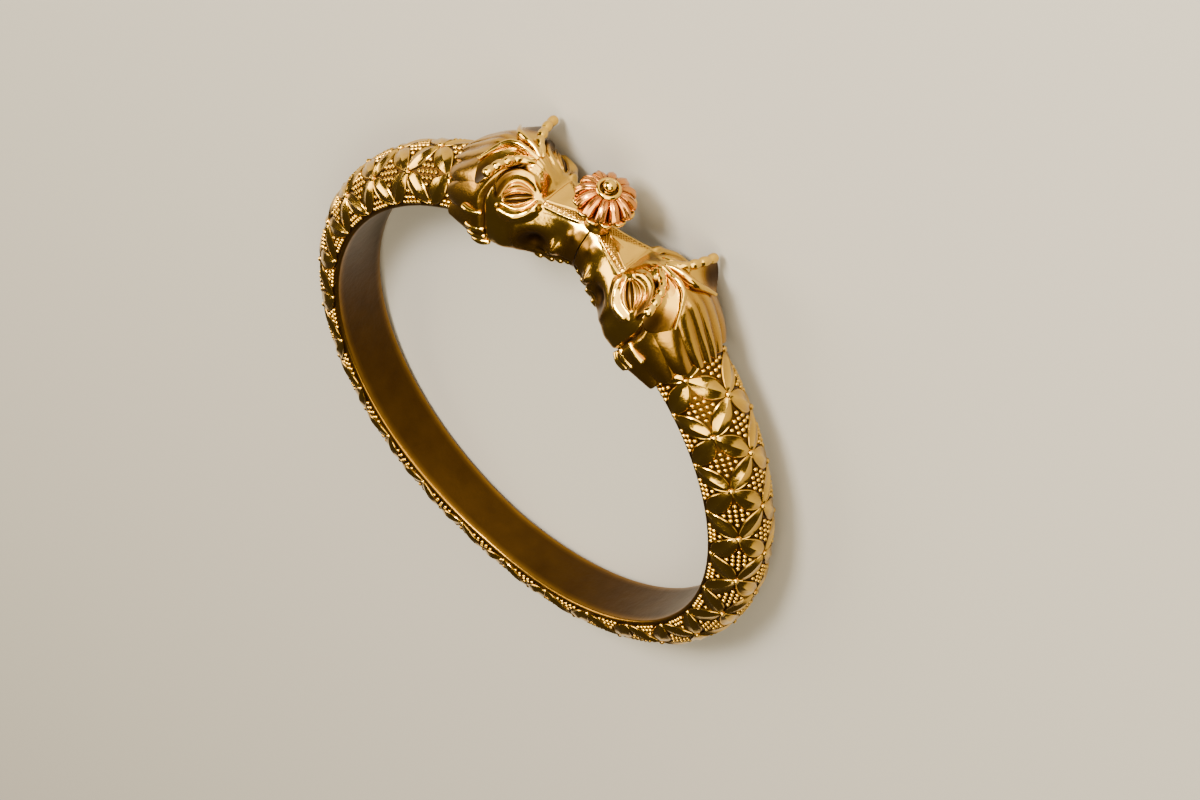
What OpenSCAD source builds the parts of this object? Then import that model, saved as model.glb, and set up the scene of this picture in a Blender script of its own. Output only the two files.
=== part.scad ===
// Kada bangle of cast brass, lying on its side on a table.
// A lattice band runs round the wrist, and two animal heads meet snout to snout under a rosette.
// The wrist opening is round. The heads meet at the front, -Y, and the band's middle is at the back, +Y.
// Places on the bangle are given as an angle round the wrist from the front, a rise above the
// wrist circle and a side, which is the distance from the ring's middle plane.

/* [Wrist opening] */
// Radius of the wrist opening
wrist_r = 30; // [27:0.5:33]
// How far the opening is pulled out of round front to back
oval_two = 0.22; // [-0.5:0.01:0.5]
// How far the opening is pulled towards three corners
oval_three = 0.5; // [-0.8:0.01:0.8]
// Lean of the ring when it lies on its side, because the heads are wider than the back
lay_lean = 2.98; // [0:0.01:5]
// Height of the ring's middle plane over the table, below the wrist's centre
lay_height = 5.172; // [4:0.001:8]
// Distance that the wrist's centre lies behind the middle of the bangle's length
lay_back = 5.212; // [3:0.001:8]

/* [Band] */
// Angle at which each end of the band sits in its head
band_start = 29; // [27:0.5:30]
// Half of the band's width beside the heads
band_half_front = 4.98; // [4:0.05:6]
// Half of the band's width at the back
band_half_back = 3.6; // [3:0.05:5]
// Height of the band's dome beside the heads
dome_front = 5.55; // [4:0.05:6]
// Height of the band's dome at the back
dome_back = 4.15; // [3:0.05:6]
// Height of the plain strip along both edges of the band
strip_h = 0.6; // [0.3:0.05:1.2]

/* [Lattice] */
// Angle of the first lattice crossing on the band's crest
lattice_start = 39.2; // [38:0.1:41]
// Half steps of the lattice from there to the middle of the back
lattice_steps = 21; // [15:2:25]
// Angle at which the relief comes out from under the mane
relief_start = 32; // [31:0.5:34]
// Height of a leaf's ridge above the ground of the band
leaf_h = 0.42; // [0.2:0.02:0.6]
// Half of a leaf's width, as a share of a lattice cell
leaf_w = 0.25; // [0.15:0.01:0.3]
// Height of the small ball at each crossing
knot_h = 0.3; // [0.1:0.02:0.5]
// Height of the cushion inside each lattice cell
cushion_h = 0.14; // [0:0.02:0.3]

/* [Heads] */
// Gap between the two snouts
snout_gap = 0.2; // [0.1:0.02:0.4]
// Angle at which the mane ends
mane_end = 30; // [29.8:0.1:31]
// How far the mane's tips reach past that angle
mane_tip = 1.3; // [0:0.1:2]
// How much further the mane's crown reaches than its sides
crown_reach = 1.2; // [0:0.1:2]
// Depth of the groove between face and mane
groove_d = 0.5; // [0.2:0.05:0.8]
// Height of a mane lock above the creases beside it
lock_h = 0.55; // [0.2:0.05:0.9]
// Thickness of an ear
ear_t = 0.6; // [0.4:0.05:1]
// Clearance between a head and the band's end
seat_gap = 0.1; // [0.05:0.01:0.2]

/* [Flower] */
// Distance of the flower's collar from the wrist's centre
collar_y = 36.65; // [36.55:0.05:37.5]
// Radius of the flower's collar
collar_r = 1.7; // [1:0.1:2.5]
// Distance of the petals' rim from the wrist's centre
petal_rim_y = 41.2; // [40:0.1:42]
// Radius of the flower
flower_r = 3.7; // [3:0.1:4.5]
// Height of the petals' dome over their rim
petal_dome = 2; // [1:0.1:3]
// Petals
petals = 12; // [8:1:16]
// Radius of the raised ring round the screw
bezel_r = 1.45; // [1.2:0.05:1.8]
// Radius of the screw's ball head
ball_r = 0.78; // [0.6:0.02:0.9]
// Distance of the ball's centre from the wrist's centre
ball_y = 43.95; // [43:0.05:45]
// Radius of the screw's shank
shank_r = 0.55; // [0.4:0.05:0.7]

/* [Hidden] */
gold = [0.83, 0.62, 0.25];
rose_gold = [0.85, 0.58, 0.36];
shank_end_y = 34;
shank_clear = 0.1;

// Number of facets of the true rounds
round_facets = 48;

// A turn of one lattice half step, so that the lattice closes at the back
half_step = (180 - lattice_start) / lattice_steps;
// Facets in a half step along the band, and in each of the four rows across its dome
step_facets = 4;
row_angle = 45;

function mix(a, b, t) = a + (b - a) * t;
function clamp01(t) = min(max(t, 0), 1);
function smooth(t) = let (c = clamp01(t)) c * c * (3 - 2 * c);
function near_whole(x) = abs(x - round(x));

// A curve through the rows p, which passes each of them at an even step of u from 0 to 1
function spline(p, u) =
    let (n = len(p) - 1, s = clamp01(u) * n, i = min(floor(s), n - 1), t = s - i,
        a = p[max(i - 1, 0)], b = p[i], c = p[i + 1], d = p[min(i + 2, n)])
    0.5 * (2 * b + (c - a) * t + (2 * a - 5 * b + 4 * c - d) * t * t
        + (3 * b - a - 3 * c + d) * t * t * t);

// A point from its angle round the wrist, rise above the wrist circle and side
function around(angle, rise, side) =
    [(wrist_r + rise) * sin(angle), -(wrist_r + rise) * cos(angle), side];

// The wrist opening's outline: a circle with a small second and third wave
function opening_r(angle) = wrist_r + oval_two * cos(2 * angle) + oval_three * cos(3 * angle);
function opening_slope(angle) = -2 * oval_two * sin(2 * angle) - 3 * oval_three * sin(3 * angle);

// A point of the band: rise is measured square to the opening's outline
function band_point(angle, rise, side) =
    let (r = opening_r(angle), slope = opening_slope(angle),
        outward = [sin(angle), -cos(angle)], along = [cos(angle), sin(angle)],
        normal = (r * outward - slope * along) / norm([r, slope]),
        p = r * outward + rise * normal)
    [p[0], p[1], side];

// Share of the way from a head to the back of the band, at either arm
function to_back(angle) = (180 - abs(180 - angle) - 30) / 150;
function band_half(angle) = mix(band_half_front, band_half_back, to_back(angle));
function dome_h(angle) = mix(dome_front, dome_back, to_back(angle));

// Relief of the lattice over the band's ground. The leaves lie along the lines where p or q is
// whole. A leaf is widest halfway between two crossings, and its sides slope up to a ridge.
function leaf(off, share) =
    let (bow = sin(180 * share), half = leaf_w * bow)
    half > 0.001 && off < half ? leaf_h * sqrt(bow) * (1 - off / half) : 0;
function relief(angle, dome_angle) =
    let (steps = (min(angle, 360 - angle) - lattice_start) / half_step, row = dome_angle / row_angle,
        p = (steps + row) / 2, q = (steps - row) / 2,
        to_knot = norm([near_whole(p), near_whole(q)]),
        knot = knot_h * (1 - pow(to_knot / 0.13, 2)),
        middle = cushion_h * smooth((min(near_whole(p), near_whole(q)) - 0.15) / 0.2),
        come_out = smooth((min(angle, 360 - angle) - relief_start) / 1.5))
    come_out * max(leaf(near_whole(p), q - floor(q)), leaf(near_whole(q), p - floor(p)), knot, middle, 0);

// One section of the band, from one wrist-side corner over the dome to the other
function band_section(angle, grow, raised) =
    let (half = band_half(angle) - leaf_h + grow, h = dome_h(angle) - leaf_h + grow,
        rows = 4 * step_facets)
    concat(
        [band_point(angle, raised ? 0 : -3, half)],
        [for (k = [0 : rows])
            let (turn = 180 * k / rows, d = raised ? relief(angle, turn) : 0)
            band_point(angle, strip_h + (h + d) * sin(turn), (half + d) * cos(turn))],
        [band_point(angle, raised ? 0 : -3, -half)]);

// The end of a solid, cut into triangles by lines from one side of its section to the other
function end_faces(n) =
    let (rungs = floor(n / 2))
    concat([for (j = [0 : rungs - 2]) each [[j, j + 1, n - 1 - j], [j + 1, n - 2 - j, n - 1 - j]]],
        n % 2 == 1 ? [[rungs - 1, rungs, rungs + 1]] : []);

// A closed solid through sections that each have the same number of points. A face of four
// points is cut along the diagonal that flip names.
module skin_solid(sections, flip = []) {
    n = len(sections[0]);
    last = len(sections) - 1;
    points = [for (s = sections) each s];
    side_faces = [for (i = [0 : last - 1]) for (j = [0 : n - 1])
        let (a = i * n + j, b = i * n + (j + 1) % n, c = a + n, d = b + n)
        each (len(flip) > 0 && flip[i][j] ? [[a, c, d], [a, d, b]] : [[a, c, b], [b, c, d]])];
    front = end_faces(n);
    back = [for (f = front) [for (k = [2 : -1 : 0]) last * n + f[k]]];
    polyhedron(points, concat(side_faces, front, back));
}

module laid() {
    translate([0, lay_back, lay_height]) rotate([-lay_lean, 0, 0]) children();
}

module band() {
    columns = ceil((lattice_start - band_start) / half_step * step_facets);
    arm = [for (k = [-columns : lattice_steps * step_facets])
        max(lattice_start + k * half_step / step_facets, band_start)];
    angles = concat(arm, [for (k = [len(arm) - 2 : -1 : 0]) 360 - arm[k]]);
    rows = 4 * step_facets;
    steps = [for (a = angles) (a - lattice_start) / half_step];
    // The diagonals follow the nearer family of leaves
    flip = [for (i = [0 : len(angles) - 2]) [for (j = [0 : rows + 2])
        let (row = (j - 1) / step_facets)
        near_whole((steps[i] - row) / 2) <= near_whole((steps[i + 1] + row) / 2)]];
    color(gold) laid() skin_solid([for (a = angles) band_section(a, 0, true)], flip);
}

// Head sections, a row each from the snout to the mane. The columns are the angle round the
// wrist, the rise of the crown, the rise and side of the edge beside it, of the temple, of the
// cheek and of the jaw, and the rise of the chin. The middle plane has side 0.
SKULL = [
    // angle crown edge       temple     cheek      jaw         chin
    [ 0,   6.50, 6.50, 0.90, 5.50, 1.80, 3.50, 2.70,  0.20, 2.50, -0.60],
    [ 3.7, 6.45, 6.40, 1.20, 5.40, 2.10, 3.00, 3.00, -0.60, 2.60, -1.10],
    [ 6.5, 6.50, 6.45, 1.65, 5.30, 2.60, 2.80, 3.30, -1.50, 2.75, -1.70],
    [ 9.6, 6.75, 6.65, 2.20, 5.30, 3.50, 2.80, 4.20, -1.30, 3.40, -1.80],
    [12,   8.70, 7.30, 2.20, 5.80, 3.80, 3.50, 5.10, -0.90, 4.30, -1.70],
    [14,   9.80, 8.10, 2.40, 6.30, 4.00, 4.00, 5.40, -0.80, 4.80, -1.60],
    [16.5, 10.3, 9.00, 2.70, 6.60, 4.60, 3.80, 5.70, -0.90, 5.20, -1.60],
    [19.6, 10.4, 9.10, 3.20, 6.50, 5.20, 3.50, 5.90, -1.10, 5.40, -1.60],
    [23,    9.9, 8.60, 3.50, 6.20, 5.40, 3.20, 6.10, -1.10, 5.80, -1.50],
    [27,    7.9, 7.00, 3.50, 5.20, 5.10, 2.60, 5.80, -0.50, 5.50, -0.80],
    [mane_end, 6.3, 5.70, 2.90, 4.30, 4.60, 2.20, 5.30,  0.20, 5.25,  0.00]];
ANGLE = 0;
CROWN = 1;
CHIN = 10;

// Face lumps and hollows, a row each: the angle, rise and side of the middle, the reach along
// the angle and across it, and the height
LUMPS = [
    // angle rise  side  reach across height
    [13.9,  6.3,  3.6,  1.6,  1.1,  -0.55],
    [13.9,  6.2,  3.7,  1.0,  0.7,   0.65],
    [11.9,  7.0,  2.6,  1.2,  0.8,   0.50],
    [14.6,  7.7,  3.1,  1.6,  0.7,   0.50],
    [11.0,  5.0,  4.3,  1.1,  0.8,   0.50],
    [13.6,  4.7,  5.2,  1.6,  0.7,   0.55],
    [16.4,  5.2,  5.5,  1.2,  0.7,   0.50],
    [ 8.0,  2.6,  3.8,  2.4,  1.8,  -0.70],
    [ 6.0,  0.6,  3.0,  1.0,  0.9,   0.45],
    [13.5,  1.6,  5.2,  3.0,  2.0,   0.35]];

around_steps = 14;
along_steps = 27;
locks_a_side = 4;
nose_end = 10;

// Landmarks of a section, from the crown over the near side to the chin
function landmarks(row) = [[row[CROWN], 0], [row[2], row[3]], [row[4], row[5]],
    [row[6], row[7]], [row[8], row[9]], [row[CHIN], 0]];

// The outline through the landmarks, which are mirrored past both ends. The snout keeps its edges.
function outline(marks, v, sharp) =
    let (p = concat([[marks[1][0], -marks[1][1]]], marks, [[marks[4][0], -marks[4][1]]]),
        s = v * 5, i = min(floor(s), 4), t = s - i,
        a = p[i], b = p[i + 1], c = p[i + 2], d = p[i + 3],
        curve = 0.5 * (2 * b + (c - a) * t + (2 * a - 5 * b + 4 * c - d) * t * t
            + (3 * b - a - 3 * c + d) * t * t * t))
    mix(curve, mix(b, c, t), sharp);

// Angle of the groove between face and mane, from the forelock's point down to the jaw
function groove_angle(v) = mix(15, 20.3, smooth(v / 0.5));

// The mane's locks lie side by side from crown to chin, and each is an arch across
function lock_arch(v) = sin(180 * (v * locks_a_side - floor(v * locks_a_side)));

// Height that the lumps, the groove and the mane's locks add to the skull
function face_relief(angle, rise, side, v) =
    let (lumps = [for (l = LUMPS) l[5] * exp(-pow((angle - l[0]) / l[3], 2)
            - (pow(rise - l[1], 2) + pow(side - l[2], 2)) / (l[4] * l[4]))],
        past = angle - groove_angle(v), groove = -groove_d * exp(-pow(past / 0.7, 2)) * smooth(v / 0.25),
        locks = lock_h * smooth((past - 0.4) / 1.5) * lock_arch(v))
    lumps * [for (l = LUMPS) 1] + groove + locks;

// A point of the skull: u runs from the snout to the mane's end, v from crown to chin
function skull_point(u, v, turn) =
    let (row = spline(SKULL, u),
        last = smooth((u - 0.8) / 0.2),
        angle = row[ANGLE] + last * (mane_tip * lock_arch(v) + crown_reach * (1 - smooth(v / 0.4))),
        sharp = 0.85 * (1 - smooth((angle - nose_end) / 2.5)),
        flat = outline(landmarks(row), v, sharp),
        middle = [3.5, 0], away = (flat - middle) / norm(flat - middle),
        p = flat + away * face_relief(angle, flat[0], flat[1], v))
    around(angle, p[0], turn * p[1]);

module skull() {
    skin_solid([for (i = [0 : along_steps]) let (u = i / along_steps) concat(
        [for (j = [0 : around_steps]) skull_point(u, j / around_steps, -1)],
        [for (j = [around_steps - 1 : -1 : 1]) skull_point(u, j / around_steps, 1)])]);
}

// A raised ridge along a path of places on the head. Its section is a low arch with its foot
// sunk in the head. It tapers towards both ends.
function out_of_head(place) = let (d = [place[1] - 3, place[2]]) d / norm(d);
function ridge_section(path, u, half, high, sink) =
    let (place = spline(path, u), ahead = spline(path, u + 0.02), behind = spline(path, u - 0.02),
        here = around(place[0], place[1], place[2]),
        along = around(ahead[0], ahead[1], ahead[2]) - around(behind[0], behind[1], behind[2]),
        out = out_of_head(place),
        up = around(place[0], place[1] + out[0], place[2] + out[1]) - here,
        across = cross(along, up) / norm(cross(along, up)),
        taper = max(pow(sin(180 * mix(0.04, 0.96, u)), 0.6), 0.1))
    [for (k = [[-1, -sink], [0, high], [1, -sink]])
        here + across * k[0] * half * taper + up * (k[1] < 0 ? k[1] : k[1] * taper)];
module ridge(path, half, high, sink = 0.5, steps = 4) {
    skin_solid([for (i = [0 : steps]) ridge_section(path, i / steps, half, high, sink)]);
}

// The ear is a hollow leaf that stands out sideways between a front and a rear rim
EAR_FRONT = [[16.0, 9.4, 1.8], [17.5, 9.9, 4.4], [18.5, 9.4, 6.6]];
EAR_REAR = [[19.3, 10.6, 0.8], [21.4, 10.0, 2.6], [22.6, 8.9, 4.2]];
ear_hollow = 1.1;
ear_bow = [0, -0.2, 1.3];
ear_rows = 4;
ear_columns = 4;
function ear_place(s, t) = mix(spline(EAR_FRONT, s), spline(EAR_REAR, s), t)
    + ear_bow * s * s * sin(180 * t) - [0, ear_hollow * sin(180 * t) * (1 - 0.4 * s), 0];
function ear_under(s, t) = ear_place(s, t) - [0, ear_t + 1.2 * (1 - s) * sin(180 * t), 0.2 * s];
function ear_rib(s) = concat(
    [for (j = [0 : ear_columns]) ear_place(s, j / ear_columns)],
    [for (j = [ear_columns : -1 : 0]) ear_under(s, j / ear_columns)]);
module ear() {
    skin_solid([for (i = [0 : ear_rows]) [for (p = ear_rib(i / ear_rows)) around(p[0], p[1], p[2])]]);
}

// Places of the beads along the ear's front rim, the eyelids, the ribs of the mane's fringe,
// the teeth and the forelock's folds
EAR_BEADS = [[16.9, 9.9, 3.0, 0.55], [17.6, 10.1, 4.6, 0.6], [18.3, 9.7, 6.1, 0.6]];
UPPER_LID = [[11.5, 6.6, 2.5], [12.7, 7.1, 2.8], [14.6, 7.2, 3.5], [16.5, 6.2, 4.9]];
LOWER_LID = [[11.5, 6.5, 2.6], [12.3, 5.8, 3.9], [14.2, 5.5, 4.8], [16.5, 5.9, 5.0]];
FRINGE_RISES = [-1.4, 0.1, 1.3, 2.5];
fringe_from = 20.9;
fringe_to = 25.4;
TEETH = [[3.3, -0.8, 2.35, 0.55], [6.2, -1.6, 2.5, 0.65], [8.7, -1.8, 2.8, 0.6]];
FORELOCK = [[19.6, 0], [18.8, 1.1], [16.9, 2.0]];
forelock_point = [13.2, 10.3, 0];

module bead(place, radius) {
    translate(around(place[0], place[1], place[2])) sphere(r = radius, $fn = 6);
}

module face_side() {
    ear();
    for (b = EAR_BEADS) bead(b, b[3]);
    ridge(UPPER_LID, 0.3, 0.34);
    ridge(LOWER_LID, 0.28, 0.3);
    for (rise = FRINGE_RISES)
        ridge([[fringe_from, rise, 5.75], [mix(fringe_from, fringe_to, 0.5), rise, 6.2],
            [fringe_to, rise, 6.3]], 0.4, 0.4, steps = 2);
    for (t = TEETH) bead(t, t[3]);
}

// A fold of the forelock, from close to its point to the angle and side of the fold's end
module forelock(angle, side) {
    start = [forelock_point[0] + 0.3 * abs(side), forelock_point[1], 0.2 * side];
    end = [angle, 10.5, side];
    ridge([start, mix(start, end, 0.5) + [0, 0, 0.1 * side], end], 0.75, 0.6);
}

module head() {
    difference() {
        union() {
            skull();
            face_side();
            mirror([0, 0, 1]) face_side();
            for (f = FORELOCK) for (turn = f[1] > 0 ? [-1, 1] : [1]) forelock(f[0], turn * f[1]);
        }
        // Half of the gap between the snouts
        translate([-5, -50, -10]) cube([5 + snout_gap / 2, 30, 20]);
        // Half of the hole for the screw's shank
        rotate([90, 0, 0]) cylinder(r = shank_r + shank_clear, h = 50, $fn = round_facets);
        // Seat for the band's end, open towards the wrist
        skin_solid([for (a = [band_start - 0.2 : 1 : 40]) band_section(a, seat_gap, false)]);
    }
}

module head_left() {
    color(gold) laid() head();
}

module head_right() {
    color(gold) laid() mirror([1, 0, 0]) head();
}

// The petals are arched ridges that fall from the raised ring to the rim. Each has a crest
// along its middle and a crease on both sides.
petal_rings = 4;
petal_top_y = petal_rim_y + petal_dome;
function petal_arch(turn) = cos(petals * turn / 2 - 180 * floor(petals * turn / 360 + 0.5));
function petal_point(t, turn) =
    let (r = mix(bezel_r - 0.2, flower_r, t), arch = abs(petal_arch(turn)),
        reach = r - 0.35 * t * t * (1 - arch), fall = petal_dome * pow(t, 1.8),
        y = petal_top_y - fall + 0.5 * (arch - 0.5) * sqrt(t))
    [reach * sin(turn), -y, reach * cos(turn)];
module petal_dome_solid() {
    around_petals = petals * 4;
    skin_solid(concat(
        [for (t = [0 : petal_rings]) [for (k = [0 : around_petals - 1])
            petal_point(t / petal_rings, 360 * k / around_petals)]],
        [[for (k = [0 : around_petals - 1]) let (turn = 360 * k / around_petals)
            [(flower_r - 0.7) * sin(turn), -(petal_rim_y - 0.9), (flower_r - 0.7) * cos(turn)]]]));
}

module flower() {
    color(rose_gold) laid() difference() {
        union() {
            petal_dome_solid();
            // Collar down to the snouts, calyx under the petals and the raised ring
            rotate([90, 0, 0]) rotate_extrude($fn = round_facets) polygon([
                [0, collar_y], [collar_r, collar_y], [collar_r - 0.3, collar_y + 1],
                [collar_r - 0.2, petal_rim_y - 2.2], [flower_r - 0.5, petal_rim_y - 1.1],
                [flower_r - 0.6, petal_rim_y - 0.7], [bezel_r, petal_rim_y],
                [bezel_r, petal_top_y + 0.25], [bezel_r - 0.15, petal_top_y + 0.4],
                [bezel_r - 0.45, petal_top_y + 0.4], [0, petal_top_y - 0.3]]);
        }
        rotate([90, 0, 0]) cylinder(r = shank_r + shank_clear, h = 50, $fn = round_facets);
    }
}

// The screw is one turned pin: a ball head over a plain shank that holds the snouts together
module flower_screw() {
    color(gold) laid() rotate([90, 0, 0]) union() {
        translate([0, 0, shank_end_y]) cylinder(r = shank_r, h = ball_y - shank_end_y, $fn = round_facets);
        translate([0, 0, ball_y]) sphere(r = ball_r, $fn = round_facets);
    }
}

band();
head_left();
head_right();
flower();
flower_screw();
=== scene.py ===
"""Kada bangle of cast brass, plated in yellow and rose gold, lying on its side on a pale table.

Two animal heads meet snout to snout under a rosette, and a lattice band runs round the wrist.
A place on the bangle is an angle in degrees round the wrist from the front, a rise above the wrist
circle and a side, the distance from the ring's middle plane. Lengths are in millimetres until a
piece is made, and the last step of each piece lays the ring on the table and turns it to metres.
"""
import math

import bpy
import numpy as np
from mathutils import Matrix, Vector

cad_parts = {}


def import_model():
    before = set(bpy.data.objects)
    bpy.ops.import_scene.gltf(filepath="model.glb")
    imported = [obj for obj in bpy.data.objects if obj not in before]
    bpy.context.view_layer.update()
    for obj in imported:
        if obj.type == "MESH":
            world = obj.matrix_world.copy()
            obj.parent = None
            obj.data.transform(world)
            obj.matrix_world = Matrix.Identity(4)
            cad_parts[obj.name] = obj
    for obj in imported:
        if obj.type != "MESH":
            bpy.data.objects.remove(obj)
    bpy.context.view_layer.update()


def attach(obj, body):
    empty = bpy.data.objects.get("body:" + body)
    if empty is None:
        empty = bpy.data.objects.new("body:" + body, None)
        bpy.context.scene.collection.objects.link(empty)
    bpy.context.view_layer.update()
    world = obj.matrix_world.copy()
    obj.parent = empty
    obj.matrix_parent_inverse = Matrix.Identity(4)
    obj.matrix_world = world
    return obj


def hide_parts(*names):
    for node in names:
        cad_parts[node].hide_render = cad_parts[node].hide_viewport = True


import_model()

# The ring: the wrist's radius, the second and third wave of its outline, and how it lies at rest,
# which is leaning by an angle, raised and moved back
WRIST_R = 30.0
OVAL_TWO = 0.22
OVAL_THREE = 0.5
LAY_LEAN = 2.98
LAY_HEIGHT = 5.172
LAY_BACK = 5.212

# The band: the angle where it starts, its half width and its dome's height at the front and at the
# back, the angle over which they fall, its plain strips, and its inner face's corners and hollow
BAND_START = 29.0
BAND_HALF_FRONT = 4.98
BAND_HALF_BACK = 3.6
DOME_FRONT = 5.55
DOME_BACK = 4.15
FALL_ANGLE = 150.0
STRIP_H = 0.6
CORNER_R = 0.3
INNER_HOLLOW = 0.12

# The lattice: rows across the dome, and steps as long along it, 21 of them from its start to the
# band's back. The outermost balls stand in by a small part of a row, and a leaf's rim may pass the
# dome's edge by less.
LATTICE_START = 39.2
BACK_STEP = 21
LAST_STEP = 2 * BACK_STEP
HALF_STEP = (180 - LATTICE_START) / BACK_STEP
ROWS = 4
ROW_ANGLE = 180.0 / ROWS
EDGE_ROW = 0.05
RIM_ROW = 0.02

# Its relief: the height kept for it, a leaf's half width as a share of a cell, the share of its
# line that it stops short at each end, the share of its height that is left there, and the power
# that makes its bow fuller. Then come the balls' radii and the height of their middles, and the
# grains' spacing as a share of a cell.
LEAF_H = 0.42
LEAF_W = 0.25
LEAF_SHORT = 0.03
LEAF_LOW = 0.45
LEAF_POWER = 0.85
KNOT_R = 0.46
EDGE_KNOT_R = 0.38
GRAIN_R = 0.33
KNOT_SEAT = 0.10
EDGE_KNOT_SEAT = 0.02
GRAIN_SEAT = 0.05
GRAIN_PITCH = 0.195

# A leaf's section from foot to foot, over its walls, rims, facets and middle ridge. Its darkness is
# painted shade, deepest at the feet and on the walls, where the leaf meets the ground
LEAF_SECTION = np.array([
    # half widths across, height, darkness
    [-1.04, -0.15, 1.00],
    [-1.00, 0.14, 0.60],
    [-0.90, 0.24, 0.05],
    [-0.78, 0.19, 0.20],
    [-0.40, 0.26, 0.12],
    [0.00, 0.41, 0.00],
    [0.40, 0.26, 0.12],
    [0.78, 0.19, 0.20],
    [0.90, 0.24, 0.05],
    [1.00, 0.14, 0.60],
    [1.04, -0.15, 1.00]])

# Darkness on the band: painted shade on its inner face and on the floor of the lattice's cells,
# more towards the strips and less towards the crown, and the strips darkened by half
INNER_DARK = 0.86
STRIP_DARK = 0.55
CELL_DARK = 0.82
CELL_FADE = 0.08

# The flower, with its parts' distances from the wrist's centre
COLLAR_Y = 36.65
PETAL_RIM_Y = 41.2
PETAL_TOP_Y = 43.2
BALL_Y = 43.95
BALL_R = 0.78
SHANK_R = 0.55
SHANK_END_Y = 34.0

# Its petals: their count, the fall from a petal's crest to its edge, the drop at the edge, the
# crest's own height, and how far the corners of a petal and of a scallop are drawn in
PETALS = 12
PETAL_FALL = 0.14
PETAL_DROP = 0.42
PETAL_CREST = 0.15
PETAL_CORNER = 1.05
SCALLOP_CORNER = 0.55

# The photograph's view of the ring: the point at the middle of the frame, the direction to the
# camera, its distance, how far it is rolled, and its focal length on a 36 mm sensor
AIM = (-7.50, -8.07, 0.0)
VIEW_AZIMUTH = -17.14
VIEW_ELEVATION = 30.46
VIEW_DISTANCE = 564.83
VIEW_ROLL = -129.88
LENS_MM = 143.45


def mix(a, b, t):
    """The value a share t of the way from a to b."""
    return a + (b - a) * t


def smooth(t):
    """Rises from 0 to 1 as t does, with level ends: t squared times 3 less 2t."""
    c = np.clip(t, 0.0, 1.0)
    return c * c * (3.0 - 2.0 * c)


def after(x, start, reach):
    """Rises smoothly from 0 at the start to 1 a reach after it."""
    return smooth((x - start) / reach)


def before(x, end, reach):
    """Falls smoothly from 1 a reach before the end to 0 at the end."""
    return smooth((end - x) / reach)


def bell(x, middle, reach):
    """A bell of height 1 round the middle: exp of minus ((x - middle) / reach) squared."""
    return np.exp(-((x - middle) / reach) ** 2)


def near_whole(x):
    """Distance to the nearest whole number."""
    return np.abs(x - np.round(x))


def crowded(count, start, end, part):
    """Steps from 0 to 1, of which the given part lies evenly between start and end."""
    inner = int(count * part)
    left = int((count - inner) * start / (1 - end + start))
    return np.concatenate([np.linspace(0, start, left, endpoint=False),
                           np.linspace(start, end, inner, endpoint=False),
                           np.linspace(end, 1, count - inner - left)])


def cubic(a, b, c, d, t):
    """The point a share t of the way from b to c on a cubic. Its slope at b is half the step from a
    to c, and at c half the step from b to d."""
    return 0.5 * (2 * b + (c - a) * t + (2 * a - 5 * b + 4 * c - d) * t ** 2
                  + (3 * b - a - 3 * c + d) * t ** 3)


def spline(rows, u):
    """A smooth curve through the rows, each passed at an even step of u from 0 to 1."""
    rows = np.asarray(rows, float)
    n = len(rows) - 1
    s = np.clip(u, 0.0, 1.0) * n
    i = np.minimum(s.astype(int), n - 1)
    return cubic(rows[np.maximum(i - 1, 0)], rows[i], rows[i + 1], rows[np.minimum(i + 2, n)],
                 (s - i)[..., None])


def around(angle, rise, side):
    """The point at an angle, a rise and a side, in the ring's own frame: the rise is along the
    wrist's radius."""
    a = np.radians(angle)
    r = WRIST_R + rise
    return np.stack(np.broadcast_arrays(r * np.sin(a), -r * np.cos(a), side), axis=-1)


def at_places(places):
    """The same for an array whose last axis is angle, rise and side."""
    return around(*np.moveaxis(places, -1, 0))


def band_point(angle, rise, side):
    """The same with the rise square to the opening's outline, which is the wrist's circle with a
    small second and third wave: r = wrist + two cos 2a + three cos 3a."""
    a = np.radians(angle)
    r = WRIST_R + OVAL_TWO * np.cos(2 * a) + OVAL_THREE * np.cos(3 * a)
    slope = -2 * OVAL_TWO * np.sin(2 * a) - 3 * OVAL_THREE * np.sin(3 * a)
    size = np.hypot(r, slope)
    out, along = r + rise * r / size, -rise * slope / size
    x = out * np.sin(a) + along * np.cos(a)
    y = -out * np.cos(a) + along * np.sin(a)
    return np.stack(np.broadcast_arrays(x, y, side), axis=-1)


def laid(points):
    """Points of the ring's own frame in metres on the table: turned by the lean about X, then
    moved back and up."""
    a = math.radians(LAY_LEAN)
    x, y, z = np.moveaxis(points, -1, 0)
    y, z = y * math.cos(a) + z * math.sin(a), z * math.cos(a) - y * math.sin(a)
    return np.stack([x, y + LAY_BACK, z + LAY_HEIGHT], axis=-1) / 1000.0


def unit(v):
    """v divided by its length."""
    return v / np.maximum(np.linalg.norm(v, axis=-1, keepdims=True), 1e-9)


# Making meshes from grids

def grid_faces(rows, columns, closed):
    """Four-sided faces of a grid of points. A closed grid joins its last column to the first."""
    i, j = np.meshgrid(np.arange(rows - 1), np.arange(columns if closed else columns - 1), indexing="ij")
    k = (j + 1) % columns
    return np.stack([i * columns + j, i * columns + k, (i + 1) * columns + k, (i + 1) * columns + j],
                    axis=-1).reshape(-1, 4)


def fan_faces(ring, centre, turned):
    """Triangles from a ring of points to its centre."""
    ahead = np.roll(ring, -1)
    pair = (ahead, ring) if turned else (ring, ahead)
    return np.stack([pair[0], pair[1], np.full(len(ring), centre)], axis=-1)


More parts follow.
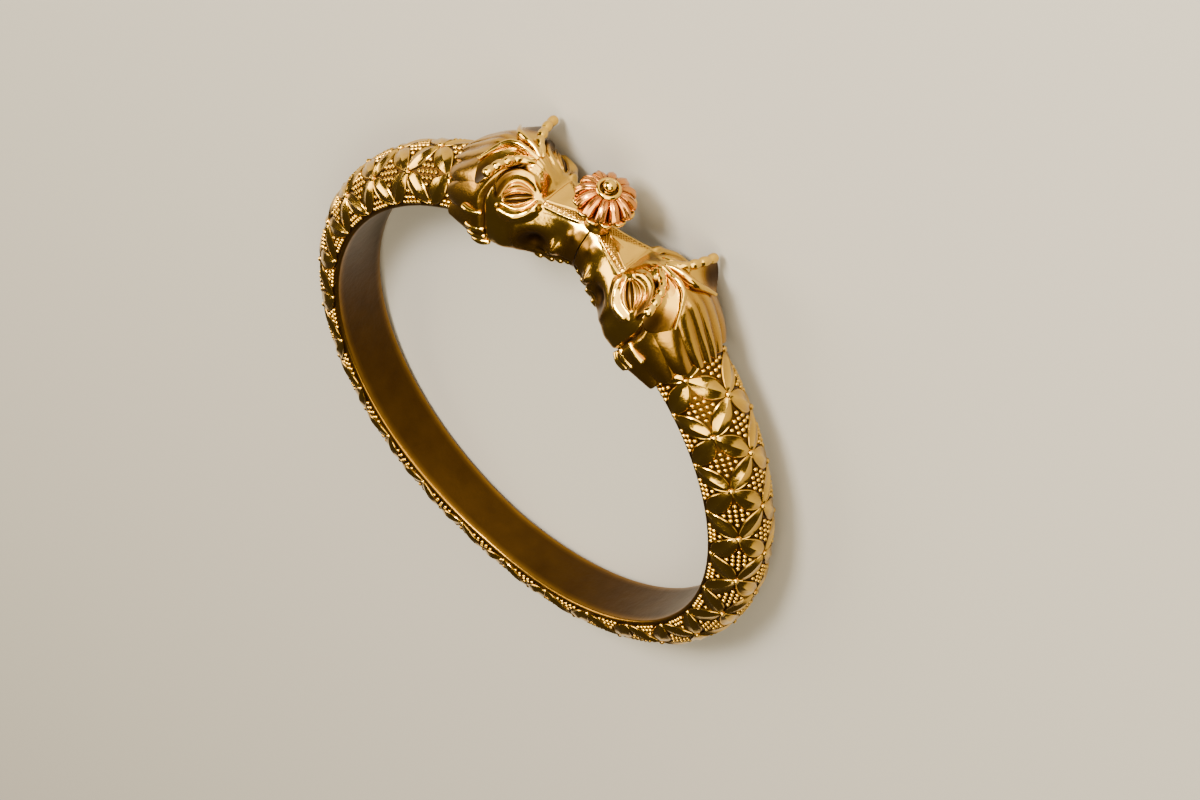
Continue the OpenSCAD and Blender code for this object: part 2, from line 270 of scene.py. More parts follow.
def skin(points, dark):
    """A closed skin over rings of points (rings, points a ring, 3): quads between the rings and a
    fan over each end. A shape is its points, quads, triangles and each point's darkness."""
    rings, count = points.shape[:2]
    flat = points.reshape(-1, 3)
    ends = np.stack([points[0].mean(axis=0), points[-1].mean(axis=0)])
    first, last = np.arange(count), (rings - 1) * count + np.arange(count)
    tris = np.concatenate([fan_faces(first, len(flat), True), fan_faces(last, len(flat) + 1, False)])
    shade = np.broadcast_to(dark, points.shape[:2])
    shade = np.concatenate([shade.reshape(-1), [shade[0].mean(), shade[-1].mean()]])
    return np.concatenate([flat, ends]), grid_faces(rings, count, True), tris, shade


def many(grids, dark):
    """Open grids (pieces, rows, columns, 3) joined in one shape."""
    pieces, rows, columns = grids.shape[:3]
    first = np.arange(pieces)[:, None, None] * rows * columns
    quads = first + grid_faces(rows, columns, False)
    shade = np.broadcast_to(dark, grids.shape[:3]).reshape(-1)
    return grids.reshape(-1, 3), quads.reshape(-1, 4), np.zeros((0, 3), int), shade


def turned_over(shape):
    """The shape with every face turned over."""
    points, quads, tris, dark = shape
    return points, quads[:, ::-1], tris[:, ::-1], dark


def mirrored(shape, axis):
    """The shape mirrored along an axis, with its faces turned over so that they still point out."""
    points, quads, tris, dark = turned_over(shape)
    flip = np.ones(3)
    flip[axis] = -1
    return points * flip, quads, tris, dark


def make_piece(name, shapes, material, nodes, crease=None):
    """One object from several shapes in the ring's frame. Crease is the angle in degrees from which
    an edge stays sharp. The darkness, mostly painted shade, goes to the material as a point
    attribute."""
    mesh = bpy.data.meshes.new(name)
    points, faces, sizes, dark, start = [], [], [], [], 0
    for p, quads, tris, shade in shapes:
        points.append(p)
        dark.append(shade)
        faces += [quads.reshape(-1) + start, tris.reshape(-1) + start]
        sizes += [np.full(len(quads), 4), np.full(len(tris), 3)]
        start += len(p)
    points = laid(np.concatenate(points))
    corners = np.concatenate(faces).astype(np.int32)
    totals = np.concatenate(sizes)
    firsts = (np.cumsum(totals) - totals).astype(np.int32)
    mesh.vertices.add(len(points))
    mesh.vertices.foreach_set("co", points.astype(np.float32).reshape(-1))
    mesh.loops.add(len(corners))
    mesh.loops.foreach_set("vertex_index", corners)
    mesh.polygons.add(len(totals))
    mesh.polygons.foreach_set("loop_start", firsts)
    mesh.polygons.foreach_set("use_smooth", np.ones(len(totals), bool))
    mesh.update(calc_edges=True)
    mesh.validate()
    # The darkness as a point attribute: painted shade, with some tarnish at the snouts
    painted_shade_and_tarnish = mesh.attributes.new("painted_shade_and_tarnish", "FLOAT", "POINT")
    painted_shade_and_tarnish.data.foreach_set("value", np.concatenate(dark).astype(np.float32))
    if crease is not None:
        mesh.set_sharp_from_angle(angle=math.radians(crease))
    mesh.materials.append(material)
    piece = bpy.data.objects.new(name, mesh)
    bpy.context.scene.collection.objects.link(piece)
    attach(piece, "root")
    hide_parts(*nodes)


# A bar on the head stands away from this rise, and a beaded one has this waist between its swells
BAR_CORE_RISE = 3.0
BEAD_WAIST = 0.66


def strand(path, half, high, along=16, across=10, thin=1.0, tail=1.0, swells=0):
    """A bar with round ends along a curve through places on the head. Its section is an oval of the
    given half width and height, which grows from the share thin at the start to the whole at the
    middle and falls to the share tail at the end. The rings crowd at the ends by a cosine."""
    t = (1 - np.cos(np.pi * np.linspace(0.0, 1.0, along + 1))) / 2
    t = mix(0.002, 0.998, t)
    place = spline(path, t)
    here = at_places(place)
    run = unit(at_places(spline(path, t + 0.01)) - at_places(spline(path, t - 0.01)))
    out = unit(place * [0, 1, 1] - [0, BAR_CORE_RISE, 0])
    up = unit(at_places(place + out) - here)
    beside = unit(np.cross(run, up))
    up = unit(np.cross(beside, run))
    length = np.linalg.norm(np.diff(here, axis=0), axis=1).sum()
    size = mix(thin, 1.0, after(t, 0.0, 0.5)) * mix(1.0, tail, after(t, 0.5, 0.5))
    end = np.clip(np.minimum(t, 1 - t) * length / (half * size), 0, 1)
    size = size * np.sqrt(1 - (1 - end) ** 2)
    if swells:
        size = size * mix(BEAD_WAIST, 1.0, np.abs(np.sin(np.pi * swells * t)) ** 0.6)
    turn = 2 * np.pi * np.arange(across) / across
    wide = half * size[:, None] * np.cos(turn)
    tall = high * size[:, None] * np.sin(turn)
    points = here[:, None] + beside[:, None] * wide[..., None] + up[:, None] * tall[..., None]
    return turned_over(skin(points, 0.0))


# Materials

# Yellow gold plating by depth of painted shade: warm bright gold where there is none, then brown
# gold, dull bronze and near black as the shade deepens into the hollows and the deepest lines
YELLOW_GOLD = [(0.0, "#D8AD45"), (0.35, "#9C7229"), (0.7, "#523812"), (1.0, "#241506")]
YELLOW_POLISH = 0.11

# Rose gold plating on the petals, in the same steps: its copper makes it redder, and it is a
# little less polished, which spreads its highlights
ROSE_GOLD = [(0.0, "#CE8A44"), (0.4, "#9C5C2A"), (0.75, "#5C2F12"), (1.0, "#2A1406")]
ROSE_POLISH = 0.20

# Roughness in the deepest lines, where nothing polishes, and what the polishing marks add
DULL_ROUGHNESS = 0.42
MARK_ROUGHNESS = 0.05

# Sizes in millimetres. The cast skin is wavy at the first, and the plating is stained in patches
# of the second. Real polishing marks are finer than the third, and are drawn that coarse to show.
WAVE_MM = 1.4
PATCH_MM = 2.5
MARK_MM = 0.35

# How far a stain moves the depth each way, the marks' share in the bump, and the bump's strength
# and its height in metres
STAIN = 0.07
MARK_BUMP = 0.20
BUMP_STRENGTH = 0.35
BUMP_HEIGHT = 0.00012


def linear(hex_colour):
    """An sRGB hex colour as linear red, green, blue and alpha."""
    parts = [int(hex_colour[k:k + 2], 16) / 255.0 for k in (1, 3, 5)]
    return [c / 12.92 if c <= 0.04045 else ((c + 0.055) / 1.055) ** 2.4 for c in parts] + [1.0]


def add_node(tree, kind, settings=None, values=None, links=None):
    """Adds a node, sets its properties and input values, and links its inputs from sockets."""
    node = tree.nodes.new(kind)
    for key, value in (settings or {}).items():
        setattr(node, key, value)
    for key, value in (values or {}).items():
        node.inputs[key].default_value = value
    for key, socket in (links or {}).items():
        tree.links.new(socket, node.inputs[key])
    return node


def set_stops(elements, stops):
    """Gives the elements of a colour ramp their stops, each a place and a hex colour."""
    while len(elements) < len(stops):
        elements.new(0.5)
    for element, (place, colour) in zip(elements, stops):
        element.position = place
        element.color = linear(colour)


def plated_gold(name, stops, polish):
    """Cast brass under gold plating. Depth, the painted shade with a faint stain, sets its colour by
    the stops and its roughness from the polish of the heights to the dull lines. The waves of the
    casting soften its reflections, and the fine marks of hand polishing break them up."""
    material = bpy.data.materials.new(name)
    material.use_nodes = True
    tree = material.node_tree
    shader = tree.nodes["Principled BSDF"]
    shader.inputs["Metallic"].default_value = 1.0
    painted_shade_and_tarnish = add_node(tree, "ShaderNodeAttribute", {"attribute_name": "painted_shade_and_tarnish"})
    where = add_node(tree, "ShaderNodeTexCoord")
    waves, patches, marks = (
        add_node(tree, "ShaderNodeTexNoise", values={"Scale": 1000.0 / size, "Detail": detail},
                 links={"Vector": where.outputs["Object"]}).outputs["Fac"]
        for size, detail in ((WAVE_MM, 2.0), (PATCH_MM, 3.0), (MARK_MM, 4.0)))
    stain = add_node(tree, "ShaderNodeMath", {"operation": "MULTIPLY_ADD"}, {1: 2 * STAIN, 2: -STAIN},
                     {0: patches})
    depth = add_node(tree, "ShaderNodeMath", {"operation": "ADD", "use_clamp": True},
                     links={0: painted_shade_and_tarnish.outputs["Fac"], 1: stain.outputs["Value"]})
    colour = add_node(tree, "ShaderNodeValToRGB", links={"Fac": depth.outputs["Value"]})
    set_stops(colour.color_ramp.elements, stops)
    tree.links.new(colour.outputs["Color"], shader.inputs["Base Color"])
    rough = add_node(tree, "ShaderNodeMapRange", values={"To Min": polish, "To Max": DULL_ROUGHNESS},
                     links={"Value": depth.outputs["Value"]})
    marked = add_node(tree, "ShaderNodeMath", {"operation": "MULTIPLY_ADD"}, {1: MARK_ROUGHNESS},
                      {0: marks, 2: rough.outputs["Result"]})
    tree.links.new(marked.outputs["Value"], shader.inputs["Roughness"])
    relief = add_node(tree, "ShaderNodeMath", {"operation": "MULTIPLY_ADD"}, {1: MARK_BUMP},
                      {0: marks, 2: waves})
    bump = add_node(tree, "ShaderNodeBump",
                    values={"Strength": BUMP_STRENGTH, "Distance": BUMP_HEIGHT},
                    links={"Height": relief.outputs["Value"]})
    tree.links.new(bump.outputs["Normal"], shader.inputs["Normal"])
    return material


def painted_board(name, colour):
    """A matt painted board, which takes a soft shadow and mirrors nothing."""
    material = bpy.data.materials.new(name)
    material.use_nodes = True
    shader = material.node_tree.nodes["Principled BSDF"]
    shader.inputs["Base Color"].default_value = linear(colour)
    shader.inputs["Roughness"].default_value = 0.6
    return material


# The band

def share_back(angle):
    """Share of the way from a head to the band's back."""
    return (FALL_ANGLE - np.abs(180 - angle)) / FALL_ANGLE


def band_half(angle):
    """Half of the band's width, which narrows evenly to the back."""
    return mix(BAND_HALF_FRONT, BAND_HALF_BACK, share_back(angle))


def dome_height(angle):
    """Height of the band's dome, which falls evenly to the back."""
    return mix(DOME_FRONT, DOME_BACK, share_back(angle))


def on_dome(angle, turn, height):
    """The point of the dome at a turn of 0 to 180 degrees across it, a height above its ground. The
    dome's section is half an oval on a plain strip: rise = strip + h sin, side = half cos."""
    t = np.radians(turn)
    rise = STRIP_H + (dome_height(angle) - LEAF_H + height) * np.sin(t)
    side = (band_half(angle) - LEAF_H + height) * np.cos(t)
    return band_point(angle, rise, side)


def lattice_angle(step):
    """The angle round the wrist of a step along the lattice."""
    return LATTICE_START + HALF_STEP * step


def lattice_point(step, row, height):
    """The point of the dome at a step along the lattice and a row across it."""
    return on_dome(lattice_angle(step), np.clip(row, -RIM_ROW, ROWS + RIM_ROW) * ROW_ANGLE, height)


def lattice_grid(first, last, odd):
    """Steps and rows of the lattice's crossings from the first step to the last, or of the middles
    of its cells where odd is 1."""
    step, row = np.meshgrid(np.arange(first, last + 1), np.arange(ROWS + 1), indexing="ij")
    keep = (step + row) % 2 == odd
    return step[keep].astype(float), row[keep].astype(float)


def band_ground():
    """The band without its relief: rings round its section, from one head to the other. A ring is
    the hollowed wrist side, a rounded corner, the strip and the dome, and the corner mirrored."""
    angle = np.linspace(BAND_START, 360 - BAND_START, 420)[:, None]
    half = band_half(angle) - LEAF_H
    flat = np.linspace(-1, 1, 9)[None, 1:-1]
    bend = np.radians(np.linspace(0, 90, 5))[None]
    turn = np.linspace(0, 180, 33)[None]
    inner = band_point(angle, INNER_HOLLOW * (flat ** 2 - 1), flat * (half - CORNER_R))
    near = band_point(angle, CORNER_R * (1 - np.cos(bend)), half - CORNER_R * (1 - np.sin(bend)))
    far = near[:, ::-1] * [1, 1, -1]
    rings = np.concatenate([inner, near, on_dome(angle, turn, 0.0), far], axis=1)
    # Painted shade on the inner face and the cells' floor, deeper towards the strips; strips half dark
    dark = np.concatenate([np.full(flat.shape, INNER_DARK), np.full(bend.shape, STRIP_DARK),
                           CELL_DARK + CELL_FADE * np.cos(np.radians(2 * turn)),
                           np.full(bend.shape, STRIP_DARK)], axis=1)
    return skin(rings, dark)


def leaves():
    """A leaf along each lattice line between two crossings. At a share t of the line its half width
    is the leaf's share of a cell times sin(180 t), a little fuller, and across it there are a raised
    rim, a hollow facet and a sharp ridge, which sink towards its ends. It is open below, in the
    ground, and at its ends, in the knots."""
    step, row, way = np.meshgrid(np.arange(-2, LAST_STEP + 2), np.arange(ROWS + 1), [-1, 1],
                                 indexing="ij")
    keep = ((step + row) % 2 == 0) & (row + way >= 0) & (row + way <= ROWS)
    step, row, way = (k[keep][:, None, None] for k in (step, row, way))
    t = mix(LEAF_SHORT, 1 - LEAF_SHORT, np.linspace(0, 1, 23))[None, :, None]
    across, height, shade = LEAF_SECTION.T
    bow = np.sin(np.pi * t) ** LEAF_POWER
    off = across * LEAF_W * bow
    height = np.where(height < 0, height, height * mix(LEAF_LOW, 1.0, bow))
    # Off the line by a share of a cell is half of it along the band and half across, each way
    points = lattice_point(step + t + off, row + way * (t - off), height)
    points = np.where(way[..., None] < 0, points, points[:, :, ::-1])
    return many(points, shade)


def balls(centres, normals, radii):
    """A small dome with eight sides at each centre: a foot sunk by a quarter of the radius, rings at
    0, 35 and 65 degrees up, and a tip a fiftieth as wide. It is open below, in the ground. Painted
    shade darkens its foot, and its top is bright and polished."""
    side = unit(np.cross(normals, [0.0, 0.0, 1.0]) + 1e-6)
    other = np.cross(normals, side)
    turn = 2 * np.pi * np.arange(8)[:, None] / 8
    ring = side[:, None] * np.cos(turn) + other[:, None] * np.sin(turn)
    ring = np.concatenate([ring, ring[:, :1]], axis=1)
    lift = np.array([-0.25, 0.0, 0.57, 0.90, 1.0])[:, None, None]
    wide = np.array([1.0, 1.0, 0.82, 0.44, 0.02])[:, None, None]
    shade = np.array([1.0, 0.7, 0.1, 0.0, 0.0])[:, None]
    points = ring[:, None] * wide + normals[:, None, None] * lift
    return many(centres[:, None, None] + radii[:, None, None, None] * points, shade)


def lattice_balls(step, row, radii, height):
    """Balls on the dome at steps and rows of the lattice. The outer rows are drawn in to the edge
    row, and the balls shrink to the back as the band narrows."""
    row = np.clip(row, EDGE_ROW, ROWS - EDGE_ROW)
    centres = lattice_point(step, row, height)
    along = lattice_point(step + 0.02, row, height) - centres
    across = lattice_point(step, row + 0.02, height) - centres
    radii = radii * band_half(lattice_angle(step)) / BAND_HALF_FRONT
    return balls(centres, unit(np.cross(across, along)), radii)


def knots():
    """A ball at each crossing of the lattice."""
    step, row = lattice_grid(-1, LAST_STEP + 1, 0)
    edge = (row == 0) | (row == ROWS)
    return lattice_balls(step, row, np.where(edge, EDGE_KNOT_R, KNOT_R),
                         np.where(edge, EDGE_KNOT_SEAT, KNOT_SEAT))


def granules():
    """Grains in each lattice cell: three rows of three and one more towards each crossing. A cell at
    the band's edge has only the half that lies on the dome."""
    step, row = lattice_grid(-2, LAST_STEP + 2, 1)
    i, j = (k.reshape(-1) for k in np.meshgrid(np.arange(-2, 3), np.arange(-2, 3)))
    keep = (np.maximum(abs(i), abs(j)) < 2) | (i * j == 0)
    step = (step[:, None] + GRAIN_PITCH * i[keep]).reshape(-1)
    row = (row[:, None] + GRAIN_PITCH * j[keep]).reshape(-1)
    inside = (row > -0.01) & (row < ROWS + 0.01)
    return lattice_balls(step[inside], row[inside], GRAIN_R, GRAIN_SEAT)


# The heads

# The gap between the snouts, where the nose ends, how far the tips of the mane's locks and its
# crown reach on over the band, and the rise of the head's axis, which its relief stands away from
SNOUT_GAP = 0.2
NOSE_END = 10.0
MANE_TIP = 1.3
CROWN_REACH = 1.2
CORE_RISE = 3.5

# The rings from snout to mane and the points from crown to chin: their count, and the two shares
# of the way between which they crowd, with the part of them that does
RINGS = (281, 0.33, 0.65, 0.47)
POINTS = (171, 0.12, 0.52, 0.64)

# The head's landmarks, from the snout to the mane's end. The columns are the angle round the wrist,
# the rise of the crown, the rise and side of the edge beside it, of the temple, of the cheek and of
# the jaw, and the chin's rise.
SKULL = [
    # angle crown edge       temple     cheek      jaw         chin
    [0.0, 6.50, 6.50, 0.90, 5.50, 1.80, 3.50, 2.70, 0.20, 2.50, -0.60],
    [3.7, 6.45, 6.40, 1.20, 5.40, 2.10, 3.00, 3.00, -0.60, 2.60, -1.10],
    [6.5, 6.50, 6.45, 1.65, 5.30, 2.60, 2.80, 3.30, -1.50, 2.75, -1.70],
    [9.6, 6.75, 6.65, 2.20, 5.30, 3.50, 2.80, 4.20, -1.30, 3.40, -1.80],
    [12.0, 8.70, 7.30, 2.20, 5.80, 3.80, 3.50, 5.10, -0.90, 4.30, -1.70],
    [14.0, 9.80, 8.10, 2.40, 6.30, 4.00, 4.00, 5.40, -0.80, 4.80, -1.60],
    [16.5, 10.3, 9.00, 2.70, 6.60, 4.60, 3.80, 5.70, -0.90, 5.20, -1.60],
    [19.6, 10.4, 9.10, 3.20, 6.50, 5.20, 3.50, 5.90, -1.10, 5.40, -1.60],
    [23.0, 9.90, 8.60, 3.50, 6.20, 5.40, 3.20, 6.10, -1.10, 5.80, -1.50],
    [27.0, 7.90, 7.00, 3.50, 5.20, 5.10, 2.60, 5.80, -0.50, 5.50, -0.80],
    [30.0, 6.30, 5.70, 2.90, 4.30, 4.60, 2.20, 5.30, 0.20, 5.25, 0.00]]

# Broad lumps and hollows of the face: the eye's mound, the hollow cheek, the cheekbone, the muzzle
# and the lip below it, the jaw's end and the nostril
LUMPS = [
    # angle rise side reach-along reach-across height
    [13.9, 6.3, 3.7, 2.0, 1.9, 0.30],
    [9.6, 1.4, 4.0, 2.3, 1.5, -0.80],
    [12.6, 1.8, 5.3, 0.9, 2.2, 0.30],
    [4.7, 2.0, 3.0, 1.2, 1.0, 0.95],
    [6.0, 0.3, 3.0, 1.2, 0.7, 0.45],
    [16.0, 0.8, 5.2, 2.4, 2.0, 0.35],
    [2.0, 4.9, 2.2, 1.2, 0.8, 0.30]]

# Where the mane's locks meet, as shares of the way from crown to chin, and how high each stands as
# a share of a lock's height. Its arch has a power that makes it fuller, and its edges lie a share
# of its height below the skin.
LOCK_EDGES = np.array([0.0, 0.065, 0.16, 0.36, 0.60, 0.80, 1.0])
LOCK_SHARES = np.array([0.40, 0.35, 0.12, 0.05, 0.05, 0.10])
LOCK_H = 0.45
LOCK_POWER = 0.7
LOCK_SUNK = 0.25

# The groove between face and mane: its angle at the crown and from the cheek down, its reach along
# and its depth
GROOVE_CROWN = 15.0
GROOVE_CHEEK = 20.3
GROOVE_REACH = 0.6
GROOVE_D = 0.5

# Heights of the nose's triangle, of the rim beside its strip, of the stipple and of the folds
# between the eyes, and depths of the step behind the nose and of the mouth's line
PLATE_H = 0.12
RIM_H = 0.16
STIPPLE_H = 0.06
BROW_H = 0.14
NOSE_STEP_D = 0.14
MOUTH_D = 0.30

# Two edges on the nose, the triangle's and its strip's: the angle and side where each starts, and
# how far to the side it goes with each degree
PLATE_EDGE = (2.9, 0.0, 0.30)
STRIP_EDGE = (3.2, 1.37, 0.19)

# The muzzle's stippled patch and the cheek's dull one: angle and rise, and the reach along each
MUZZLE = (4.9, 2.1, 1.3, 1.1)
CHEEK = (9.7, 1.4, 3.2, 1.8)

# The stipple's dots: radians a millimetre, and how far its rows slant across the nose
STIPPLE_RATE = 15.0
STIPPLE_SLANT = 0.3

# How dark the skin is: a little all over, and painted shade for each millimetre of the groove's and
# the mouth's depth, between the mane's locks, on the mane, before the ear's roll, at the snout's end,
# where it is partly tarnish, and in the hollow cheek
SKIN_DARK = 0.08
GROOVE_DARK = 1.6
MOUTH_DARK = 1.5
LOCK_DARK = 0.8
MANE_DARK = 0.24
ROLL_DARK = 0.80
SNOUT_DARK = 0.50
CHEEK_DARK = 1.00

# The roll along the ear's front rim, from the forelock to the tip, which swells five times
EAR_ROLL = [(14.3, 10.0, 0.35), (15.5, 10.25, 1.2), (16.6, 10.45, 2.3), (17.3, 10.5, 3.5),
            (17.9, 10.4, 4.8), (18.3, 10.0, 6.18)]

# The eye's middle and corners, the step in rise and side that leads out of the face there, half
# its length, how far it opens above and below its slit, and how much painted shade lies inside it
EYE = (14.0, 6.33, 3.60)
EYE_FRONT = (11.7, 6.62, 2.55)
EYE_REAR = (16.3, 6.03, 4.88)
EYE_OUT = (0.62, 0.79)
EYE_HALF = 2.15
EYE_UPPER = 1.90
EYE_LOWER = 1.10
EYE_DARK = 0.22

# Height of the lids and the ball by the share of the way from the slit to the eye's outline
LIDS = np.array([
    # share height
    [-1.00, -0.02],
    [-0.88, 0.02],
    [-0.66, 0.32],
    [-0.46, 0.06],
    [-0.34, -0.24],
    [-0.12, 0.00],
    [0.04, 0.00],
    [0.17, -0.26],
    [0.26, 0.02],
    [0.38, 0.30],
    [0.50, 0.08],
    [0.57, -0.04],
    [0.66, 0.10],
    [0.77, 0.34],
    [0.90, 0.06],
    [1.00, -0.02]])

# Height of the folds round the eye by the distance from its outline, above and below
FOLDS = np.array([
    # off above below
    [0.00, -0.02, -0.02],
    [0.14, 0.00, 0.00],
    [0.32, 0.20, 0.22],
    [0.60, 0.52, 0.52],
    [0.90, 0.62, 0.64],
    [1.20, 0.50, 0.46],
    [1.50, 0.12, 0.12],
    [1.75, 0.00, 0.00]])


def skull_outline(marks, v, sharp):
    """The head's section through its landmarks, a share v of the way from crown to chin. It is a
    smooth curve, which goes on at both ends into its mirror image, mixed with straight lines by the
    share sharp."""
    first = marks[:, 1:2] * [1, -1]
    last = marks[:, -2:-1] * [1, -1]
    p = np.concatenate([first, marks, last], axis=1)
    spans = marks.shape[1] - 1
    s = v * spans
    i = np.minimum(s.astype(int), spans - 1)
    t = (s - i)[None, :, None]
    a, b, c, d = (p[:, i + k] for k in range(4))
    return mix(cubic(a, b, c, d, t), mix(b, c, t), sharp)


def lock_arch(v):
    """An arch over each lock of the mane, sin(180 t) between its two edges, and the lock's share."""
    k = np.clip(np.searchsorted(LOCK_EDGES, v, side="right") - 1, 0, len(LOCK_EDGES) - 2)
    arch = np.sin(np.pi * (v - LOCK_EDGES[k]) / (LOCK_EDGES[k + 1] - LOCK_EDGES[k]))
    return arch, LOCK_SHARES[k]


def skull_places(v, arch):
    """Angles of the head's skin, and its rises and sides, before the relief. The last fifth reaches
    on with the mane's locks and at the crown. The nose is edged, and the rest is rounded."""
    u = crowded(*RINGS)
    row = spline(SKULL, u)
    tips = MANE_TIP * arch ** LOCK_POWER + CROWN_REACH * (1 - after(v, 0.0, 0.4))
    angle = row[:, :1] + after(u, 0.8, 0.2)[:, None] * tips
    sharp = 0.9 * (1 - after(angle, NOSE_END, 2.5)) * (1 - after(v, 0.24, 0.16))
    crown, chin = (np.stack([row[:, k], 0 * u], axis=-1)[:, None] for k in (1, 10))
    marks = np.concatenate([crown, row[:, 2:10].reshape(-1, 4, 2), chin], axis=1)
    return angle, skull_outline(marks, v, sharp[..., None])


def softened(x, table, column, reach):
    """The table's column at x, as the mean of three values a reach apart."""
    return sum(np.interp(x + step, table[:, 0], table[:, column]) for step in (-reach, 0.0, reach)) / 3


def eye_relief(points):
    """Height of eye and lids, how dark they are, and where they are. A point is a along the slit
    and b beside it. The eye's outline is b = opening times (1 - (a / half length) squared). Lids lie
    inside it by the share b / outline, and folds outside it by the least distance to 81 places on
    it. The lids level out before they meet at the corners, and the folds end on both sides there."""
    middle, front, rear = (around(*p) for p in (EYE, EYE_FRONT, EYE_REAR))
    ahead = unit(front - rear)
    up = unit(np.cross(around(EYE[0], EYE[1] + EYE_OUT[0], EYE[2] + EYE_OUT[1]) - middle, ahead))
    out = np.cross(ahead, up)
    off = points - middle
    a, b, far = off @ ahead, off @ up, np.abs(off @ out)
    opening = np.where(b > 0, EYE_UPPER, EYE_LOWER)
    edge = opening * (1 - (a / EYE_HALF) ** 2)
    at = np.linspace(-1, 1, 81)
    rim = opening[..., None] * (1 - at ** 2)
    gap = np.hypot(a[..., None] - EYE_HALF * at, np.abs(b)[..., None] - rim).min(axis=-1)
    inner = np.abs(b) < edge
    share = np.clip(b / np.maximum(edge, 0.02), -1, 1)

    here = before(far, 4.5, 1.0)
    fine = before(np.abs(a), 0.95 * EYE_HALF, 0.6) * here
    lids = softened(share, LIDS, 1, 0.04)
    folds = np.where(b > 0, softened(gap, FOLDS, 1, 0.05), softened(gap, FOLDS, 2, 0.05))
    ends = after(np.abs(b), 0.15, 0.8) * before(np.abs(a), 3.0, 0.9) * here
    height = np.where(inner, lids * fine, folds * ends)
    inside = np.where(inner, 1.0, before(gap, 1.8, 0.4)) * here
    # Painted shade inside the eye, deepest in the slit and the grooves between the lids
    dark = (EYE_DARK + 0.7 * before(lids, 0.10, 0.22)) * np.where(inner, fine, 0)
    return height, dark, inside


def edge_side(edge, angle):
    """The side of an edge on the nose at an angle: its first side and its growth from there."""
    start, side, growth = edge
    return side + growth * (angle - start)


def patch(place, angle, rise):
    """A bell along times a bell across, round a place on the side of the face."""
    middle_angle, middle_rise, along, across = place
    return bell(angle, middle_angle, along) * bell(rise, middle_rise, across)


def nose_relief(angle, rise, side, dots):
    """Height of the nose's relief, and where its stippled strip is. A smooth raised triangle points
    to the snout, the strip lies beside it and a rim along the strip, and a step ends them."""
    nose = after(angle, 2.2, 0.4) * before(angle, 9.7, 0.25) * after(rise, 4.6, 0.4)
    inner, outer = edge_side(PLATE_EDGE, angle), edge_side(STRIP_EDGE, angle)
    plate = before(side, inner, 0.15) * nose
    strip = after(side, inner, 0.15) * before(side, outer - 0.12, 0.12) * nose
    rim = bell(side, outer, 0.14) * nose
    step = (after(angle, 9.65, 0.2) * before(angle, 11.0, 1.0) * before(side, outer, 0.3)
            * after(rise, 5.0, 0.5))
    return PLATE_H * plate + STIPPLE_H * strip * dots + RIM_H * rim - NOSE_STEP_D * step, strip


def brow_folds(angle, rise, side):
    """Three folds, sin(180 fold), side by side from the forelock down between the eyes, closing in
    as they go."""
    fold = side / (0.12 + 0.11 * np.maximum(angle - 10.5, 0.2))
    return (np.abs(np.sin(np.pi * fold)) * before(fold, 3.0, 0.15) * after(rise, 6.0, 0.8)
            * after(angle, 11.8, 1.6) * before(angle, 14.8, 0.8))


def mouth_line(angle, rise, side):
    """Depth of the mouth's line, a bell across the slope from the lips to the corner, as a share."""
    return (bell(rise, mix(0.9, -0.4, angle / 10), 0.22) * before(angle, 9.5, 1.0)
            * after(side, 0.6, 0.5) * after(angle, 0.0, 1.0))


